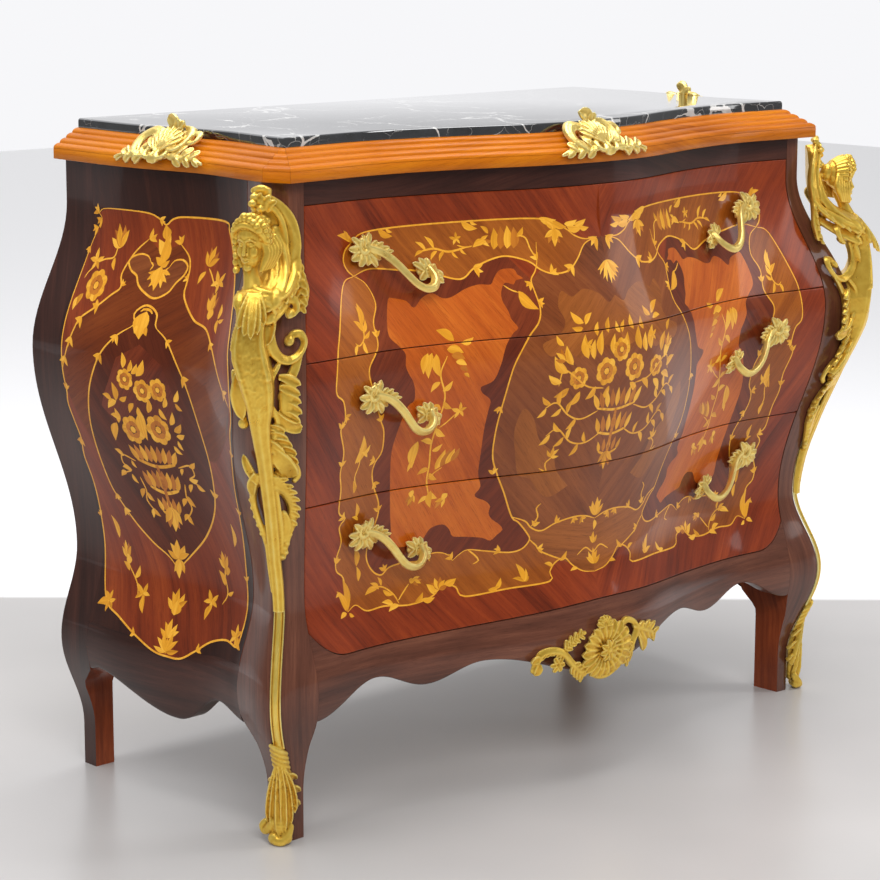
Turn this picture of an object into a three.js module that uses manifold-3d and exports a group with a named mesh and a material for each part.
// A bombé commode chest with three drawers, a reeded top frame round an inset marble
// slab, cabriole legs and gilt mounts. Millimetres, +Z up, the front faces -Y.
// The carcass swells on two curves, one for the front and one for the sides. Every
// piece that lies on the outside reads its shape from those two curves, and each gilt
// mount is cut by the wood that carries it, so that it seats on the curve.

import * as THREE from 'three';
import { mergeVertices } from 'three/addons/utils/BufferGeometryUtils.js';
import Module from 'manifold-3d';

const wasm = await Module();
wasm.setup();

// Clearances, and how far a mount runs into the wood before it is cut
const seat = 0.3;
const drawerGap = 1;
const slideGap = 0.4;
const boardPlay = 0.8;
const overrun = 34;

// Heights, stacked from the floor: legs, three drawers and the frieze
const drawerFoot = 227;
const bottomDrawerHeight = 197;
const middleDrawerHeight = 183;
const topDrawerHeight = 182;
const friezeHeight = 31;

// Places where the swelling of the carcass turns: below its top, below the upper seam,
// above and below the foot of the drawers, and above the floor
const shoulderDrop = 55;
const bellyDrop = 29;
const waistRise = 79;
const kneeDrop = 43;
const ankleHeight = 58;

// Depth behind the datum line, and how far the front reaches before it
const backDepth = 405;
const frontShoulder = 27;
const frontBelly = 73;
const frontWaist = 26;
const frontKnee = 52;
const frontAnkle = 28;

// Half width at the waist of the sides, and how much they swell from there
const halfWidth = 486;
const shoulderSwell = 3;
const bellySwell = 63;
const kneeSwell = 29;
const ankleDraw = 5;

// Serpentine of the front, seen from above: a bow in the middle, a hollow beside it
const bowDepth = 55;
const bowHalfWidth = 185;
const bowPower = 2.6;
const frontHollow = 9;
const frontHollowPlace = 350;
const frontHollowWidth = 90;

// Serpentine of the sides, seen from above, and the lip that runs into the corner
const sideCrown = 5;
const sideCrownPlace = 285;
const sideHollow = 14;
const sideHollowPlace = 115;
const sideWaveWidth = 80;
const cornerFlare = 15;
const flareStart = 60;
const flareEnd = -40;

// Corner stiles and front legs
const stileShoulderWidth = 36;
const stileBellyWidth = 57;
const stileWaistWidth = 30;
const stileSideEdge = 45;
const cantLow = 12;
const cantHigh = 26;
const cantRise = 193;
const legWidth = 18;
const legSideEdge = 18;
const legNarrow = 115;
const legWide = 155;

// Back posts and back legs
const postWidth = 34;
const postDepth = 60;
const backLegDepth = 26;

// Panels and boards
const panelThickness = 20;
const apronThickness = 24;
const friezeThickness = 20;
const boardThickness = 12;
const bottomBoardLift = 25;
const backThickness = 12;
const backPanelDrop = 77;
const boardSetback = 3.5;

// Lower edge of the bottom drawer: a low arch that curls up at both ends
const drawerArch = 12;
const drawerCurl = 35;
const drawerCurlWidth = 61;
const drawerCurlPower = 2.2;

// Scalloped lower edges of the aprons: shares of the run, then of the rise to the top
const frontApronDepth = 84;
const frontApronShares = [[0, 0], [0.415, 0.49], [0.595, 0.26], [0.777, 0.54], [1, 0.11]];
const sideJointDrop = 12;
const sideApronDepth = 104;
const sideApronShares = [[0, 0.29], [0.166, 0.44], [0.484, 0], [0.934, 0.43], [1, 0.38]];

// Drawer boxes and their guides
const boxInset = 20;
const boxBackRoom = 21.6;
const boxWall = 12;
const boxFloor = 8;
const boxFloorLift = 8;
const boxHeadroom = 14;
const guideWidth = 14;
const guideHeight = 24;

// Top frame and marble. Each reed of the moulding is an arc in shares of its step.
const frameOverhang = 19;
const frameHeight = 38;
const frameWidth = 40;
const fasciaHeight = 14;
const reedCount = 4;
const reedShares = [[0, 0], [0.14, 0.55], [0.5, 1]];
const frameCantWide = 16;
const frameCantDeep = 34;
const marbleCantWide = 2;
const marbleCantDeep = 4;
const marbleThickness = 22;
const marbleProud = 12;
const marbleArris = 2;

// Corner strips, from the foot mount to the herm
const stripFoot = 130;
const stripRise = 63;
const stripHalfWidth = 8;
const stripDepth = 8;

// Caryatid mounts: a tapering herm, a bust under a hood, and a knob at the top.
// Rows of shares: the rise, the half width, the stand-off and the sideways shift.
const bustDrop = 120;
const bustHalfWidth = 22;
const bustStandOff = 60;
const bustShift = 16;
const bustDepth = 17;
const hermShares = [
  [0, 0.36, 0, 0],
  [0.2, 0.36, 0, 0],
  [0.37, 0.47, 0.03, 0.05],
  [0.52, 0.57, 0.09, 0.1],
  [0.64, 0.75, 0.28, 0.1],
  [0.78, 0.9, 0.48, 0.4],
  [0.87, 0.9, 0.7, 0.9],
  [1, 1, 1, 1],
];
const hoodDrop = 40;
const hoodHalfWidth = 30;
const hoodStandOff = 14;
const hoodShift = -20;
const hoodShares = [
  [0, 0.75, 0.57, 1],
  [0.26, 1, 1, 0.5],
  [0.6, 0.85, 0.8, 0.1],
  [0.83, 0.7, 0.6, -0.1],
  [1, 0.28, 0.4, -0.65],
];
const headRise = 56;
const headStandOff = 47;
const headShift = 22;
const headHalfWidth = 19;
const headHalfDepth = 21;
const headHalfHeight = 29;
const neckRise = 20;
const neckRadius = 8.5;
const knobDrop = 9;
const knobShift = 14;
const knobRadius = 9;

// Lobes of the bust: shares of the head's stand-off, its height over the bust, then
// radii as shares of the head's half width, depth and height.
const bustLobeShares = [
  [0.75, 0, 1.4, 1.2, 0.5],
  [0.88, 1.3, 1, 1, 0.55],
  [0.4, 0.4, 1, 1.5, 0.5],
];

// Scroll and leaves beside the herm: shares of the reach across the front (negative) or
// the side, and of the height from the strip to the bust. Leaves add half sizes.
const leafReach = 64;
const leafThickness = 5.5;
const leafHalfLength = 27;
const scrollShares = [
  [-0.62, 0.93],
  [-0.74, 0.943],
  [-0.62, 0.968],
  [-0.35, 0.955],
  [-0.25, 0.9],
  [-0.27, 0.85],
  [-0.48, 0.808],
  [-0.77, 0.803],
  [-0.92, 0.826],
  [-0.9, 0.856],
  [-0.75, 0.868],
  [-0.64, 0.854],
];
const leafShares = [
  [-0.5, 0.77, 0.8, 0.75],
  [-0.56, 0.71, 0.93, 0.3],
  [-0.56, 0.65, 0.89, 0.3],
  [-0.46, 0.605, 0.93, 0.33],
  [-0.28, 0.53, 0.59, 0.41],
  [-0.36, 0.46, 0.96, 0.59],
  [-0.2, 0.38, 0.48, 0.44],
  [-0.3, 0.31, 0.52, 0.56],
  [-0.18, 0.235, 0.41, 0.37],
  [0.46, 0.71, 0.89, 0.26],
  [0.36, 0.61, 0.37, 0.3],
  [0.34, 0.47, 0.78, 0.4],
  [0.22, 0.32, 1.07, 0.33],
];

// Foot mounts: a sleeve round the ankle with a scrolled toe and a leaf
const sleeveHalfWidth = 16;
const sleeveStandOff = 14;
const sleeveShares = [
  [0, 1, 0.7, 0],
  [0.23, 0.94, 1, 0],
  [0.54, 0.94, 0.64, 0],
  [0.74, 0.69, 0.43, 0],
  [0.86, 0.75, 0.29, 0],
  [1, 0.56, 0.07, 0],
];
const toeHeight = 17;
const toeStandOff = 26;
const toeRadius = 12;
const footLeafHeight = 78;

// Lobes of the foot: shares of the toe's radius across, of its stand-off and of its
// height, then radii as shares of the toe's radius.
const footLobeShares = [
  [0, 1, 1, 0.9, 1, 1],
  [0, 0.5, 0.6, 1, 1.7, 0.85],
];
const footLeafShares = [-1.4, 0.5, 1, 1.8];

// Handles, cast in one piece: a rosette at the outer end, a bowed arm and a leaf.
// Rows of shares: the span, the drop and the stand-off. Lobes add radii as shares.
const handleSpan = 118;
const handleDrop = 47;
const handleStandOff = 27;
const handleWire = 5;
const rosetteRadius = 21;
const rosetteDepth = 11;
const armShares = [
  [0, 0, 0.35],
  [0.1, -0.1, 0.9],
  [0.26, -0.5, 1],
  [0.42, -0.98, 1],
  [0.6, -1.28, 1],
  [0.76, -1.2, 0.95],
  [0.9, -1, 0.7],
  [1, -0.92, 0.3],
];
const handleLobeShares = [
  [0, 0.1, 0.1, 1, 1, 1],
  [-0.14, -0.2, 0.1, 0.5, 1, 0.7],
  [1, -0.92, 0.1, 0.75, 1, 0.6],
  [1.09, -0.8, 0.05, 0.4, 0.7, 0.5],
];
const topHandleInset = 118;
const middleHandleInset = 96;
const bottomHandleInset = 114;
const handleRiseShares = { top: 0.676, middle: 0.716, bottom: 0.746 };

// Rocaille mounts on the top frame and on the front apron
const topMountHalfWidth = 82;
const topMountHeight = 62;
const topMountDepth = 12;
const topMountLift = 8;
const sideMountPlace = 178;
const apronMountHalfWidth = 116;
const apronMountHeight = 84;
const apronMountDepth = 15;
const apronMountDrop = 14;

// Lobes in shares of the half width, the height and the depth: the centre, then the
// radii. The tails are wires to both sides, in shares of the half width and the height.
const shellShares = [
  [0, 0.55, 0, 0.2, 0.48, 1],
  [0, 0.14, 0.4, 0.3, 0.3, 1],
  [-0.28, 0.4, 0, 0.17, 0.3, 0.8],
  [0.28, 0.4, 0, 0.17, 0.3, 0.8],
];
const crestShares = [
  [0, 0.6, 0.2, 0.2, 0.48, 0.8],
  [0, 0.22, 0.1, 0.3, 0.3, 1],
  [-0.24, 0.42, 0, 0.16, 0.3, 0.9],
  [0.24, 0.42, 0, 0.16, 0.3, 0.9],
];
const crestBodyShares = [0, 0.3, 0, 0.27, 0.5, 1];
const tailShares = [[0.1, 0.25], [0.42, 0.08], [0.62, 0.2], [0.85, 0.08], [0.98, 0.22]];
const tailWireShare = 0.45;
const tailOutShare = 0.2;

// Facets
const heightStep = 34;
const frontSteps = 16;
const curlSteps = 3;
const drawerSteps = 5;
const apronSteps = 3;
const sideSteps = 7;
const mountSides = 5;

// One material for each finish
const finishes = {
  veneer: { color: 0x6e2a14, roughness: 0.25, metalness: 0 },
  dark: { color: 0x2c1714, roughness: 0.22, metalness: 0 },
  leg: { color: 0x4a2018, roughness: 0.25, metalness: 0 },
  moulding: { color: 0xc4701c, roughness: 0.3, metalness: 0 },
  marble: { color: 0x101012, roughness: 0.08, metalness: 0 },
  gilt: { color: 0xd0a53c, roughness: 0.3, metalness: 1 },
  carcase: { color: 0xa8834f, roughness: 0.75, metalness: 0 },
};

// Sizes that follow from the ones above
const lowerSeam = drawerFoot + bottomDrawerHeight;
const upperSeam = lowerSeam + middleDrawerHeight;
const friezeBottom = upperSeam + topDrawerHeight;
const carcassHeight = friezeBottom + friezeHeight;
const shoulderHeight = carcassHeight - shoulderDrop;
const bellyHeight = upperSeam - bellyDrop;
const waistHeight = drawerFoot + waistRise;
const kneeHeight = drawerFoot - kneeDrop;
const sideJoint = drawerFoot - sideJointDrop;
const frontApronFoot = drawerFoot - frontApronDepth;
const sideApronFoot = sideJoint - sideApronDepth;
const stripHead = drawerFoot + stripRise;
const bustHeight = carcassHeight - bustDrop;
const headHeight = bustHeight + headRise;
const knobHeight = carcassHeight - knobDrop;
const frameTop = carcassHeight + frameHeight;
const marbleTop = frameTop + marbleProud;
const bottomBoardTop = drawerFoot + bottomBoardLift;
const postInner = halfWidth - postWidth;
const panelFront = stileSideEdge + seat;
const panelBack = backDepth - postDepth - seat;
const backFace = backDepth - backThickness;
const drawerWaist = halfWidth - stileWaistWidth;
const boxHalfWidth = drawerWaist - boxInset;
const boxFront = boardSetback - slideGap + seat;
const frontInner = boardSetback - slideGap;

// Curves

function ease(from, to, at) {
  const t = THREE.MathUtils.clamp(at, 0, 1);
  return from + (to - from) * (1 - Math.cos(Math.PI * t)) / 2;
}

// A value that turns at each of a list of [place, value] pairs and eases between them.
function eased(turns, place) {
  const last = turns.length - 1;
  if (place <= turns[0][0]) return turns[0][1];
  if (place >= turns[last][0]) return turns[last][1];
  const i = turns.findIndex((turn) => turn[0] > place) - 1;
  const [low, high] = [turns[i], turns[i + 1]];
  return ease(low[1], high[1], (place - low[0]) / (high[0] - low[0]));
}

const frontSwelling = [
  [ankleHeight, frontAnkle],
  [kneeHeight, frontKnee],
  [waistHeight, frontWaist],
  [bellyHeight, frontBelly],
  [shoulderHeight, frontShoulder],
];
const sideSwelling = [
  [ankleHeight, halfWidth - ankleDraw],
  [kneeHeight, halfWidth + kneeSwell],
  [waistHeight, halfWidth],
  [bellyHeight, halfWidth + bellySwell],
  [shoulderHeight, halfWidth + shoulderSwell],
];
const drawerSwelling = [
  [waistHeight, drawerWaist],
  [bellyHeight, halfWidth + bellySwell - stileBellyWidth],
  [shoulderHeight, halfWidth + shoulderSwell - stileShoulderWidth],
];

function bump(distance, width) {
  return Math.exp(-((distance / width) ** 2));
}

function frontWave(x) {
  const bow = Math.exp(-(Math.abs(x / bowHalfWidth) ** bowPower));
  return frontHollow * bump(Math.abs(x) - frontHollowPlace, frontHollowWidth) - bowDepth * bow;
}

function sideWave(y) {
  const crown = sideCrown * bump(y - sideCrownPlace, sideWaveWidth);
  return crown - sideHollow * bump(y - sideHollowPlace, sideWaveWidth);
}

function sideFlare(y) {
  return ease(0, cornerFlare, (flareStart - y) / (flareStart - flareEnd));
}

// The front's y at a width x and height z, and the side's x at a depth y and height z.
function frontY(x, z) {
  return frontWave(x) - eased(frontSwelling, z);
}

function sideX(y, z) {
  return eased(sideSwelling, z) + sideWave(y) + sideFlare(y);
}

function drawerEnd(z) {
  return eased(drawerSwelling, z);
}

function drawerFootEdge(x) {
  const past = Math.max(0, Math.abs(x) - drawerWaist + drawerCurlWidth) / drawerCurlWidth;
  return drawerFoot + drawerArch * bump(x, bowHalfWidth) + drawerCurl * past ** drawerCurlPower;
}

// How far the leg has widened into the carcass at a height, from 0 to 1.
function widening(z) {
  return (z - legNarrow) / (legWide - legNarrow);
}

function stileInner(z) {
  return ease(halfWidth - ankleDraw - legWidth, drawerEnd(z) + drawerGap, widening(z));
}

function stileSide(z) {
  return ease(legSideEdge, stileSideEdge, widening(z));
}

function cant(z) {
  const start = drawerFoot + cantRise;
  return ease(cantLow, cantHigh, (z - start) / (shoulderHeight - start));
}

// The point where front and side would meet if the corner weren't canted.
function arris(z) {
  const y = -eased(frontSwelling, z);
  return new THREE.Vector3(sideX(y, z), y, z);
}

const outward = new THREE.Vector3(1, -1, 0).normalize();
const along = new THREE.Vector3(1, 1, 0).normalize();

function onCorner(across, out, z) {
  return arris(z).addScaledVector(along, across).addScaledVector(outward, out);
}

// Solids

function spread(from, to, steps) {
  return Array.from({ length: steps + 1 }, (_, i) => from + (to - from) * i / steps);
}

function heights(from, to) {
  return spread(from, to, Math.max(1, Math.round((to - from) / heightStep)));
}

function signedVolume(points, faces) {
  const total = faces.reduce((sum, [a, b, c]) => (
    sum + points[a].dot(points[b].clone().cross(points[c]))
  ), 0);
  return total / 6;
}

function fromFaces(points, faces) {
  const inward = signedVolume(points, faces) < 0;
  const geometry = new THREE.BufferGeometry().setFromPoints(points);
  geometry.setIndex(faces.flatMap(([a, b, c]) => (inward ? [a, c, b] : [a, b, c])));
  return geometry;
}

// Triangles that close a ring, laid out on the plane that faces its normal most.
function cap(ring, start) {
  const normal = new THREE.Vector3();
  ring.forEach((point, i) => {
    normal.add(point.clone().cross(ring[(i + 1) % ring.length]));
  });
  const size = [Math.abs(normal.x), Math.abs(normal.y), Math.abs(normal.z)];
  const [u, v] = [['y', 'z'], ['x', 'z'], ['x', 'y']][size.indexOf(Math.max(...size))];
  const flat = ring.map((point) => new THREE.Vector2(point[u], point[v]));
  const turned = THREE.ShapeUtils.isClockWise(flat);
  const faces = THREE.ShapeUtils.triangulateShape(turned ? flat.reverse() : flat, []);
  return faces.map((face) => face.map((i) => start + (turned ? ring.length - 1 - i : i)));
}

// Turns a cap so that its edges run against those of the walls.
function matched(faces, walls) {
  const used = new Set(walls.flatMap(([a, b, c]) => [`${a},${b}`, `${b},${c}`, `${c},${a}`]));
  const clash = faces.some(([a, b, c]) => (
    used.has(`${a},${b}`) || used.has(`${b},${c}`) || used.has(`${c},${a}`)
  ));
  return clash ? faces.map(([a, b, c]) => [a, c, b]) : faces;
}

// A closed solid through rings of equally many points, capped at both ends.
function loft(rings) {
  const count = rings[0].length;
  const walls = [];
  for (let r = 0; r + 1 < rings.length; r += 1) {
    for (let i = 0; i < count; i += 1) {
      const [a, b] = [r * count + i, r * count + (i + 1) % count];
      walls.push([a, b, b + count], [a, b + count, a + count]);
    }
  }
  const points = rings.flat();
  const ends = [cap(rings[0], 0), cap(rings.at(-1), points.length - count)];
  return fromFaces(points, [...walls, ...ends.flatMap((faces) => matched(faces, walls))]);
}

// A closed solid between two grids of points, outer and inner, that share their edges.
function panel(columns, rows, outer, inner) {
  const layer = (at) => columns.flatMap((u) => rows.map((v) => at(u, v)));
  const [right, top] = [columns.length - 1, rows.length - 1];
  const index = (i, j, side) => (side * columns.length + i) * rows.length + j;
  const faces = [];
  const quad = (a, b, c, d) => faces.push([a, b, c], [a, c, d]);
  for (let i = 0; i < right; i += 1) {
    for (let j = 0; j < top; j += 1) {
      quad(index(i, j, 0), index(i + 1, j, 0), index(i + 1, j + 1, 0), index(i, j + 1, 0));
      quad(index(i, j, 1), index(i, j + 1, 1), index(i + 1, j + 1, 1), index(i + 1, j, 1));
    }
    quad(index(i, 0, 0), index(i, 0, 1), index(i + 1, 0, 1), index(i + 1, 0, 0));
    quad(index(i, top, 0), index(i + 1, top, 0), index(i + 1, top, 1), index(i, top, 1));
  }
  for (let j = 0; j < top; j += 1) {
    quad(index(0, j, 0), index(0, j + 1, 0), index(0, j + 1, 1), index(0, j, 1));
    quad(index(right, j, 0), index(right, j, 1), index(right, j + 1, 1), index(right, j + 1, 0));
  }
  return fromFaces([...layer(outer), ...layer(inner)], faces);
}

function toManifold(geometry) {
  const bare = geometry.clone();
  bare.deleteAttribute('normal');
  bare.deleteAttribute('uv');
  const merged = mergeVertices(bare);
  return new wasm.Manifold(new wasm.Mesh({
    numProp: 3,
    vertProperties: new Float32Array(merged.attributes.position.array),
    triVerts: new Uint32Array(merged.index.array),
  }));
}

function fromManifold(body) {
  const mesh = body.getMesh();
  const geometry = new THREE.BufferGeometry();
  geometry.setAttribute('position', new THREE.BufferAttribute(mesh.vertProperties, 3));
  geometry.setIndex(new THREE.BufferAttribute(mesh.triVerts, 1));
  return geometry;
}

function join(geometries) {
  return geometries.map(toManifold).reduce((sum, body) => sum.add(body));
}

function mirrored(geometry) {
  const copy = geometry.clone().scale(-1, 1, 1);
  const order = Array.from(copy.index.array);
  for (let i = 0; i < order.length; i += 3) {
    [order[i + 1], order[i + 2]] = [order[i + 2], order[i + 1]];
  }
  copy.setIndex(order);
  return copy;
}

function board(x0, x1, y0, y1, z0, z1) {
  const box = new THREE.BoxGeometry(x1 - x0, y1 - y0, z1 - z0);
  return box.translate((x0 + x1) / 2, (y0 + y1) / 2, (z0 + z1) / 2);
}

function slab(outline, z0, z1) {
  return loft([z0, z1].map((z) => outline.map(([x, y]) => new THREE.Vector3(x, y, z))));
}

const parts = new THREE.Group();

function place(name, geometry, finish) {
  const mesh = new THREE.Mesh(geometry, new THREE.MeshStandardMaterial(finishes[finish]));
  mesh.name = name;
  parts.add(mesh);
}

function placePair(name, right, finish) {
  place(`${name}_left`, mirrored(right), finish);
  place(`${name}_right`, right, finish);
}

// Corner stiles with the front legs

function stileFace(z, proud) {
  const corner = arris(z);
  const front = spread(stileInner(z), corner.x - cant(z), 2);
  const side = spread(corner.y + cant(z), stileSide(z), 3);
  return [
    ...front.map((x) => new THREE.Vector3(x, frontY(x, z) - proud, z)),
    ...side.map((y) => new THREE.Vector3(sideX(y, z) + proud, y, z)),
  ];
}

function stile() {
  return loft(heights(0, carcassHeight - seat).map((z) => (
    [...stileFace(z, 0), new THREE.Vector3(stileInner(z), stileSide(z), z)]
  )));
}

// The wood of a corner grown by the seat, which cuts the mounts that lie on it.
function cornerWood() {
  return toManifold(loft(heights(0, carcassHeight - seat).map((z) => {
    const start = new THREE.Vector3(postInner / 2, frontY(stileInner(z), z) - seat, z);
    const end = new THREE.Vector3(sideX(stileSide(z), z) + seat, backDepth / 2, z);
    return [start, ...stileFace(z, seat), end, new THREE.Vector3(start.x, end.y, z)];
  })));
}

// Back posts with the back legs

function backPost() {
  return loft(heights(0, carcassHeight - seat).map((z) => {
    const front = ease(backDepth - backLegDepth, backDepth - postDepth, widening(z));
    const side = spread(front, backDepth, 2).map((y) => new THREE.Vector3(sideX(y, z), y, z));
    const inner = [backDepth, front].map((y) => new THREE.Vector3(postInner, y, z));
    return [...side, ...inner];
  }));
}

// Side panels and side aprons

function sideWall(depths, rows, foot, head, thickness) {
  const at = (y, v, proud) => {
    const z = foot(y) + (head - foot(y)) * v;
    return new THREE.Vector3(sideX(y, z) + proud, y, z);
  };
  const shares = spread(0, 1, rows);
  return panel(depths, shares, (y, v) => at(y, v, 0), (y, v) => at(y, v, -thickness));
}

function sidePanel() {
  const [foot, head] = [sideJoint + seat, carcassHeight - seat];
  const rows = Math.round((head - foot) / heightStep);
  return sideWall(spread(panelFront, panelBack, sideSteps), rows, () => foot, head, panelThickness);
}

function sideApron() {
  const edge = (y) => {
    const rise = eased(sideApronShares, (y - panelFront) / (panelBack - panelFront));
    return sideApronFoot + (sideJoint - sideApronFoot) * rise;
  };
  const depths = spread(panelFront, panelBack, sideSteps * 2);
  return sideWall(depths, apronSteps, edge, sideJoint, apronThickness);
}

// Front apron and frieze rail. The columns of the front gather where the curl starts.

function frontColumns() {
  const curl = spread(1 - drawerCurlWidth / drawerWaist, 1, curlSteps);
  const flat = spread(-curl[0], curl[0], frontSteps).slice(1, -1);
  return [...curl.map((u) => -u).reverse(), ...flat, ...curl];
}

function frontApron(proud) {
  const reach = drawerWaist + drawerGap - seat;
  const at = (x, v, out) => {
    const rise = eased(frontApronShares, Math.abs(x) / reach);
    const foot = frontApronFoot + (drawerFoot - frontApronFoot) * rise;
    const z = foot + (drawerFootEdge(x) - drawerGap - foot) * v;
    return new THREE.Vector3(x, frontY(x, z) - out, z);
  };
  const coarse = frontColumns().map((u) => u * drawerWaist);
  const fine = coarse.flatMap((x, i) => (i ? [(coarse[i - 1] + x) / 2, x] : [x]));
  const columns = [-reach, ...fine.slice(1, -1), reach];
  const rows = spread(0, 1, apronSteps);
  return panel(columns, rows, (x, v) => at(x, v, proud), (x, v) => at(x, v, -apronThickness));
}

function friezeRail() {
  const levels = [friezeBottom + drawerGap, carcassHeight - seat];
  const reach = Math.min(...levels.map(stileInner)) - seat;
  return panel(
    frontColumns().map((u) => u * reach),
    levels,
    (x, z) => new THREE.Vector3(x, frontY(x, z), z),
    (x, z) => new THREE.Vector3(x, friezeThickness, z),
  );
}

// Boards inside the carcass

function dustBoard(top) {
  const wide = Math.min(stileInner(top), stileInner(top - boardThickness)) - boardPlay;
  const narrow = postInner - seat;
  const outline = [
    [-wide, boardSetback],
    [wide, boardSetback],
    [wide, panelBack],
    [narrow, panelBack],
    [narrow, backFace - seat],
    [-narrow, backFace - seat],
    [-narrow, panelBack],
    [-wide, panelBack],
  ];
  return slab(outline, top - boardThickness, top);
}

// Drawers, from the top one down. A floor is the board below, a ceiling the one above.

const boardTops = [upperSeam, lowerSeam].map((seam) => seam + boardThickness / 2);

const drawers = [
  {
    name: 'drawer_top',
    foot: () => upperSeam + drawerGap / 2,
    head: friezeBottom,
    floor: boardTops[0],
    ceiling: friezeBottom,
    handleX: halfWidth - topHandleInset,
    handleZ: upperSeam + topDrawerHeight * handleRiseShares.top,
  },
  {
    name: 'drawer_middle',
    foot: () => lowerSeam + drawerGap / 2,
    head: upperSeam - drawerGap / 2,
    floor: boardTops[1],
    ceiling: boardTops[0] - boardThickness,
    handleX: halfWidth - middleHandleInset,
    handleZ: lowerSeam + middleDrawerHeight * handleRiseShares.middle,
  },
  {
    name: 'drawer_bottom',
    foot: drawerFootEdge,
    head: lowerSeam - drawerGap / 2,
    floor: bottomBoardTop,
    ceiling: boardTops[1] - boardThickness,
    handleX: halfWidth - bottomHandleInset,
    handleZ: drawerFoot + bottomDrawerHeight * handleRiseShares.bottom,
  },
];

function drawerFront(drawer, proud) {
  const at = (u, v) => {
    const foot = drawer.foot(u * drawerWaist);
    const z = foot + (drawer.head - foot) * v;
    const x = u * drawerEnd(z);
    return new THREE.Vector3(x, frontY(x, z) - proud, z);
  };
  const rows = spread(0, 1, drawerSteps);
  return panel(frontColumns(), rows, at, (u, v) => at(u, v).setY(frontInner));
}

function placeDrawerBox({ name, floor, ceiling }) {
  const back = backFace - boxBackRoom;
  const [low, high] = [floor + slideGap, ceiling - boxHeadroom];
  const inner = boxHalfWidth - boxWall - seat;
  const floorLow = low + boxFloorLift;
  const side = board(boxHalfWidth - boxWall, boxHalfWidth, boxFront, back, low, high);
  const end = board(-inner, inner, back - boxWall, back, low, high);
  const bottom = board(-inner, inner, boxFront, back - boxWall - seat, floorLow, floorLow + boxFloor);
  placePair(`${name}_side`, side, 'carcase');
  place(`${name}_back`, end, 'carcase');
  place(`${name}_bottom`, bottom, 'carcase');
}

function guide({ floor }) {
  const inner = boxHalfWidth + slideGap;
  const low = floor + seat;
  return board(inner, inner + guideWidth, stileSideEdge, panelBack - seat, low, low + guideHeight);
}

// Top frame and marble. A run is a line of the frame's plan at an inset from its edge;
// all insets share their stations, so that the pieces keep an even gap.

const frameFrontY = -frontShoulder - frameOverhang;
const frameSideX = halfWidth + shoulderSwell + frameOverhang;

function frameCorner(inset) {
  const share = inset / frameWidth;
  const wide = frameCantWide + (marbleCantWide - frameCantWide) * share;
  const deep = frameCantDeep + (marbleCantDeep - frameCantDeep) * share;
  const x = frameSideX - inset - wide;
  return { x, y: frameFrontY + inset + frontWave(x) + deep };
}

function frontRun(inset) {
  const end = frameCorner(inset).x;
  const shared = frameSideX - 2 * frameWidth;
  return [-end, ...spread(-shared, shared, frontSteps), end].map((x) => (
    new THREE.Vector2(x, frameFrontY + inset + frontWave(x))
  ));
}

function sideRun(inset) {
  const start = frameCorner(inset).y;
  return [start, ...spread(stileSideEdge, backDepth, sideSteps)].map((y) => (
    new THREE.Vector2(frameSideX - inset + sideWave(y), y)
  ));
}

function cantRun(inset) {
  const [from, to] = [frontRun(inset).at(-1), sideRun(inset)[0]];
  const share = seat / from.distanceTo(to);
  return [from.clone().lerp(to, share), to.clone().lerp(from, share)];
}

function sweep(run, profile) {
  const lines = profile.map(([inset, z]) => (
    run(inset).map((point) => new THREE.Vector3(point.x, point.y, z))
  ));
  return loft(lines[0].map((_, i) => lines.map((line) => line[i])));
}

const reedRun = frameWidth / reedCount;
const reedRise = (frameHeight - fasciaHeight) / reedCount;

function frameProfile() {
  const reeds = spread(0, reedCount - 1, reedCount - 1).flatMap((i) => reedShares.map(([u, v]) => [
    (i + u) * reedRun,
    carcassHeight + fasciaHeight + (i + v) * reedRise,
  ]));
  return [[0, carcassHeight], ...reeds, [frameWidth, frameTop], [frameWidth, carcassHeight]];
}

// A slope over the crests of the reeds and a step over the marble's edge, a seat away
// from both, which cut the mounts on them.
function frameCover() {
  const crest = reedRun * (1 - reedShares.at(-1)[0]);
  return [
    [-seat, carcassHeight - overrun],
    [-seat, carcassHeight + fasciaHeight + reedRise / 2 + seat],
    [frameWidth - crest, frameTop + seat],
    [frameWidth - seat, frameTop + seat],
    [frameWidth - seat, marbleTop + seat],
    [frameWidth * 2, marbleTop + seat],
    [frameWidth * 2, carcassHeight - overrun],
  ];
}

function planOutline(inset) {
  const side = sideRun(inset).map((point) => [point.x, point.y]);
  const front = frontRun(inset).map((point) => [point.x, point.y]);
  return [...front, ...side, ...side.map(([x, y]) => [-x, y]).reverse()];
}

function marble() {
  const bottom = marbleTop - marbleThickness;
  const levels = [
    [bottom, marbleArris],
    [bottom + marbleArris, 0],
    [marbleTop - marbleArris, 0],
    [marbleTop, marbleArris],
  ];
  return loft(levels.map(([z, arrisInset]) => (
    planOutline(frameWidth + seat + arrisInset).map(([x, y]) => new THREE.Vector3(x, y, z))
  )));
}

// Lobes and wires of the gilt mounts

// A sphere stretched by three radii and turned.
function lobe(centre, radii, turn, sides = mountSides) {
  const shape = new THREE.SphereGeometry(1, sides, Math.ceil(sides / 2));
  const rotation = new THREE.Quaternion().setFromEuler(turn);
  return shape.applyMatrix4(new THREE.Matrix4().compose(centre, rotation, radii));
}

// A round wire along a smooth curve through given points.
function wire(points, radius, steps, sides = mountSides) {
  const ring = spread(0, 2 * Math.PI, sides).slice(1).map((angle) => (
    new THREE.Vector2(radius * Math.cos(angle), radius * Math.sin(angle))
  ));
  const extrudePath = new THREE.CatmullRomCurve3(points);
  return new THREE.ExtrudeGeometry(new THREE.Shape(ring), { steps, extrudePath });
}

const upright = new THREE.Euler();
const diagonal = new THREE.Euler(0, 0, -Math.PI / 4);

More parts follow.
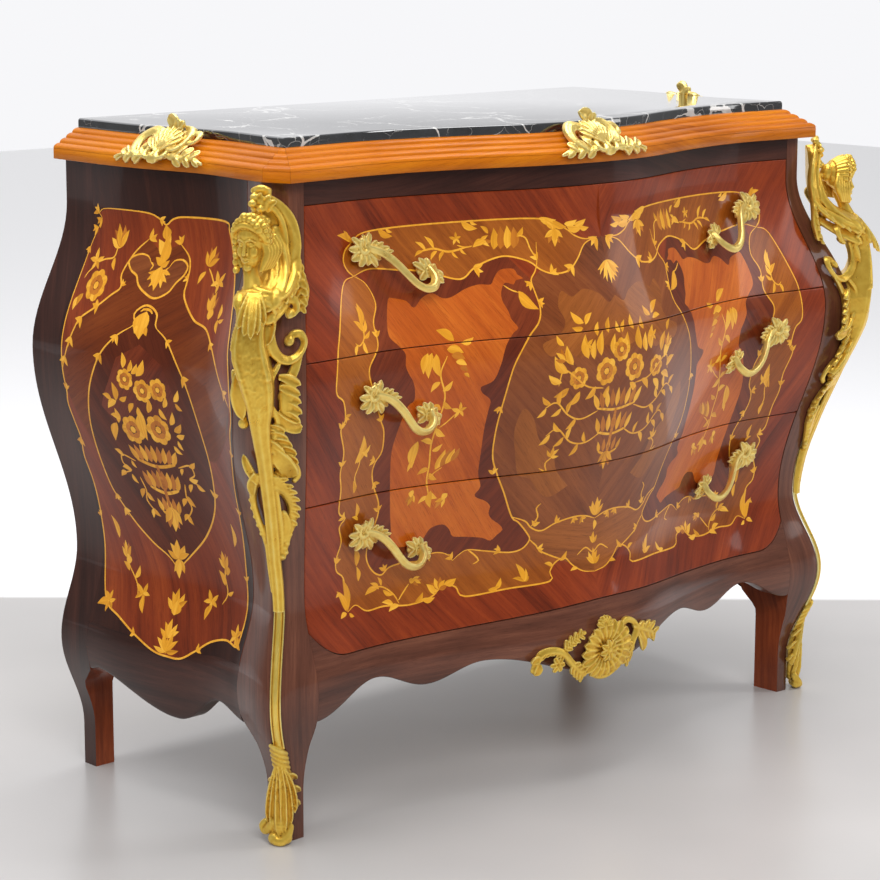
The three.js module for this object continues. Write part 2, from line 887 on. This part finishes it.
function cornerLobe(across, out, z, radii, sides) {
  return lobe(onCorner(across, out, z), new THREE.Vector3(...radii), diagonal, sides);
}

// A half-round section that faces out along the diagonal of the corner.
function halfRound(z, half, out, shift, depth) {
  const round = spread(0, Math.PI, mountSides).map((angle) => (
    onCorner(shift - half * Math.cos(angle), out - depth * (1 - Math.sin(angle)), z)
  ));
  return [...round, onCorner(shift + half, -overrun, z), onCorner(shift - half, -overrun, z)];
}

function cornerLoft(shares, size, steps) {
  const column = (t, k) => eased(shares.map((row) => [row[0], row[k]]), t);
  return loft(spread(0, 1, steps).map((t) => halfRound(
    size.low + (size.high - size.low) * t,
    size.half * column(t, 1),
    size.out * column(t, 2),
    size.shift * column(t, 3),
    bustDepth,
  )));
}

// A point on the front (across < 0) or the side of the corner, a little way off it.
function besideCorner(across, z, out) {
  const start = arris(z);
  if (across < 0) {
    return new THREE.Vector3(start.x + across, frontY(start.x + across, z) - out, z);
  }
  return new THREE.Vector3(sideX(start.y + across, z) + out, start.y + across, z);
}

// Corner strips: half-round ribs on the cant

function cornerStrip(wood) {
  const rings = heights(stripFoot, stripHead - seat).map((z) => (
    halfRound(z, stripHalfWidth, stripDepth - cant(z) * Math.SQRT1_2, 0, stripDepth)
  ));
  return fromManifold(toManifold(loft(rings)).subtract(wood));
}

// Caryatid mounts

// The way out of the drawers, which the mount leaves free.
function drawerPath() {
  const reach = 2 * halfWidth;
  return toManifold(loft(heights(drawerFoot, friezeBottom + drawerGap).map((z) => {
    const end = drawerEnd(z) + drawerGap;
    const outline = [[0, -reach], [end, -reach], [end, 0], [0, 0]];
    return outline.map(([x, y]) => new THREE.Vector3(x, y, z));
  })));
}

function caryatid(wood) {
  const rise = bustHeight - stripHead;
  const herm = { low: stripHead, high: bustHeight, half: bustHalfWidth, out: bustStandOff, shift: bustShift };
  const hood = {
    low: bustHeight - hoodDrop,
    high: knobHeight,
    half: hoodHalfWidth,
    out: hoodStandOff,
    shift: hoodShift,
  };
  const neck = [bustHeight, bustHeight + neckRise, headHeight].map((z) => (
    onCorner(headShift, headStandOff, z)
  ));
  const head = [headHalfWidth, headHalfDepth, headHalfHeight];
  const pieces = [
    cornerLoft(hermShares, herm, 11),
    cornerLoft(hoodShares, hood, 5),
    wire(neck, neckRadius, 2),
    cornerLobe(headShift, headStandOff, headHeight, head, 2 * mountSides),
    cornerLobe(knobShift, knobRadius, knobHeight, [knobRadius, knobRadius, knobRadius]),
    wire(scrollShares.map(([u, v]) => (
      besideCorner(u * leafReach, stripHead + v * rise, leafThickness)
    )), leafThickness, 18, mountSides - 1),
  ];
  bustLobeShares.forEach(([out, up, wide, deep, tall]) => {
    const z = bustHeight + up * (headHeight - bustHeight);
    const radii = [wide * headHalfWidth, deep * headHalfDepth, tall * headHalfHeight];
    pieces.push(cornerLobe(bustShift, out * headStandOff, z, radii));
  });
  leafShares.forEach(([u, v, long, wide]) => {
    const centre = besideCorner(u * leafReach, stripHead + v * rise, leafThickness / 2);
    const [length, width] = [long * leafHalfLength, wide * leafHalfLength];
    const radii = u < 0 ? [length, leafThickness, width] : [leafThickness, width, length];
    pieces.push(lobe(centre, new THREE.Vector3(...radii), upright));
  });
  return fromManifold(join(pieces).subtract(wood).subtract(drawerPath()));
}

// Foot mounts

function footMount(wood) {
  const sleeve = {
    low: 0,
    high: stripFoot - seat,
    half: sleeveHalfWidth,
    out: sleeveStandOff,
    shift: 0,
  };
  const pieces = [cornerLoft(sleeveShares, sleeve, 7)];
  footLobeShares.forEach(([across, out, up, ...radii]) => {
    const sizes = radii.map((radius) => radius * toeRadius);
    pieces.push(cornerLobe(across * toeRadius, out * toeStandOff, up * toeHeight, sizes));
  });
  const [across, ...radii] = footLeafShares.map((share) => share * toeRadius);
  pieces.push(cornerLobe(across, 0, footLeafHeight, radii));
  const reach = 2 * halfWidth;
  const floor = toManifold(board(-reach, reach, -reach, reach, -reach, 0));
  return fromManifold(join(pieces).subtract(wood).subtract(floor));
}

// Rocaille mounts. A place maps sideways, upward and outward sizes to the wood.

function frontPlace(base, surface) {
  return {
    at: (u, v, out) => new THREE.Vector3(u, surface(u, base + v) - out, base + v),
    radii: (u, v, out) => new THREE.Vector3(u, out, v),
    lean: (angle) => new THREE.Euler(-angle, 0, 0),
  };
}

function sidePlace(base, middle, surface) {
  return {
    at: (u, v, out) => new THREE.Vector3(surface(middle + u, base + v) + out, middle + u, base + v),
    radii: (u, v, out) => new THREE.Vector3(out, u, v),
    lean: (angle) => new THREE.Euler(0, -angle, 0),
  };
}

function shareLobe(site, size, [u, v, out, wide, tall, deep], angle) {
  const centre = site.at(u * size.wide, v * size.tall, out * size.deep);
  const radii = site.radii(wide * size.wide, tall * size.tall, deep * size.deep);
  return lobe(centre, radii, site.lean(angle), mountSides + 1);
}

function rocaille(site, size, shares) {
  const pieces = shares.map((row) => shareLobe(site, size, row, 0));
  [-1, 1].forEach((side) => {
    const points = tailShares.map(([u, v]) => (
      site.at(side * u * size.wide, v * size.tall, tailOutShare * size.deep)
    ));
    pieces.push(wire(points, tailWireShare * size.deep, 7));
  });
  return pieces;
}

const topMountSize = { wide: topMountHalfWidth, tall: topMountHeight, deep: topMountDepth };
const apronMountSize = { wide: apronMountHalfWidth, tall: apronMountHeight, deep: apronMountDepth };

// The moulding leans back from its fascia to the marble.
function frameLean(z) {
  const share = (z - carcassHeight - fasciaHeight) / (frameHeight - fasciaHeight);
  return frameWidth * THREE.MathUtils.clamp(share, 0, 1);
}

function topMount(site, run) {
  const angle = Math.atan2(frameWidth, frameHeight - fasciaHeight);
  const pieces = rocaille(site, topMountSize, crestShares);
  pieces.push(shareLobe(site, topMountSize, crestBodyShares, angle));
  return fromManifold(join(pieces).subtract(toManifold(sweep(run, frameCover()))));
}

function apronMount() {
  const base = frontApronFoot - apronMountDrop;
  const pieces = rocaille(frontPlace(base, frontY), apronMountSize, shellShares);
  return fromManifold(join(pieces).subtract(toManifold(frontApron(seat))));
}

// Handles

function handle(drawer) {
  const at = (u, v, out) => {
    const [x, z] = [drawer.handleX - u * handleSpan, drawer.handleZ + v * handleDrop];
    return new THREE.Vector3(x, frontY(x, z) - out * handleStandOff, z);
  };
  const pieces = handleLobeShares.map(([u, v, out, wide, deep, tall]) => {
    const radii = [wide * rosetteRadius, deep * rosetteDepth, tall * rosetteRadius];
    return lobe(at(u, v, out), new THREE.Vector3(...radii), upright, mountSides + 1);
  });
  pieces.push(wire(armShares.map((row) => at(...row)), handleWire, 10));
  return fromManifold(join(pieces).subtract(toManifold(drawerFront(drawer, seat))));
}

// Assembly

const panelHalf = postInner - seat;
const backFoot = drawerFoot - backPanelDrop;
const backPanel = board(-panelHalf, panelHalf, backFace, backDepth, backFoot, carcassHeight - seat);

placePair('front_stile', stile(), 'dark');
placePair('back_post', backPost(), 'dark');
placePair('side_panel', sidePanel(), 'veneer');
placePair('side_apron', sideApron(), 'dark');
place('front_apron', frontApron(0), 'leg');
place('front_frieze', friezeRail(), 'dark');
place('back_panel', backPanel, 'carcase');
place('dust_board_upper', dustBoard(boardTops[0]), 'carcase');
place('dust_board_lower', dustBoard(boardTops[1]), 'carcase');
place('bottom_board', dustBoard(bottomBoardTop), 'carcase');

drawers.forEach((drawer) => {
  place(`${drawer.name}_front`, drawerFront(drawer, 0), 'veneer');
  placeDrawerBox(drawer);
  placePair(`${drawer.name}_guide`, guide(drawer), 'carcase');
  placePair(`${drawer.name}_handle`, handle(drawer), 'gilt');
});

place('top_moulding_front', sweep(frontRun, frameProfile()), 'moulding');
placePair('top_moulding_side', sweep(sideRun, frameProfile()), 'moulding');
placePair('top_moulding_cant', sweep(cantRun, frameProfile()), 'moulding');
const subTopHigh = marbleTop - marbleThickness - seat;
place('sub_top', slab(planOutline(frameWidth + seat), carcassHeight, subTopHigh), 'carcase');
place('marble_top', marble(), 'marble');

const wood = cornerWood();
placePair('corner_strip', cornerStrip(wood), 'gilt');
placePair('caryatid_mount', caryatid(wood), 'gilt');
placePair('foot_mount', footMount(wood), 'gilt');

const mountBase = carcassHeight + topMountLift;
const overFront = (x, z) => frameFrontY + frameLean(z) + frontWave(x);
const overSide = (y, z) => frameSideX - frameLean(z) + sideWave(y);
place('top_mount_front', topMount(frontPlace(mountBase, overFront), frontRun), 'gilt');
placePair('top_mount_side', topMount(sidePlace(mountBase, sideMountPlace, overSide), sideRun), 'gilt');
place('apron_mount', apronMount(), 'gilt');

// The origin lies on the floor under the middle of the whole object.
const bounds = new THREE.Box3().setFromObject(parts);
parts.position.y = -bounds.getCenter(new THREE.Vector3()).y;
const commode = new THREE.Group();
commode.add(parts);

export default commode;
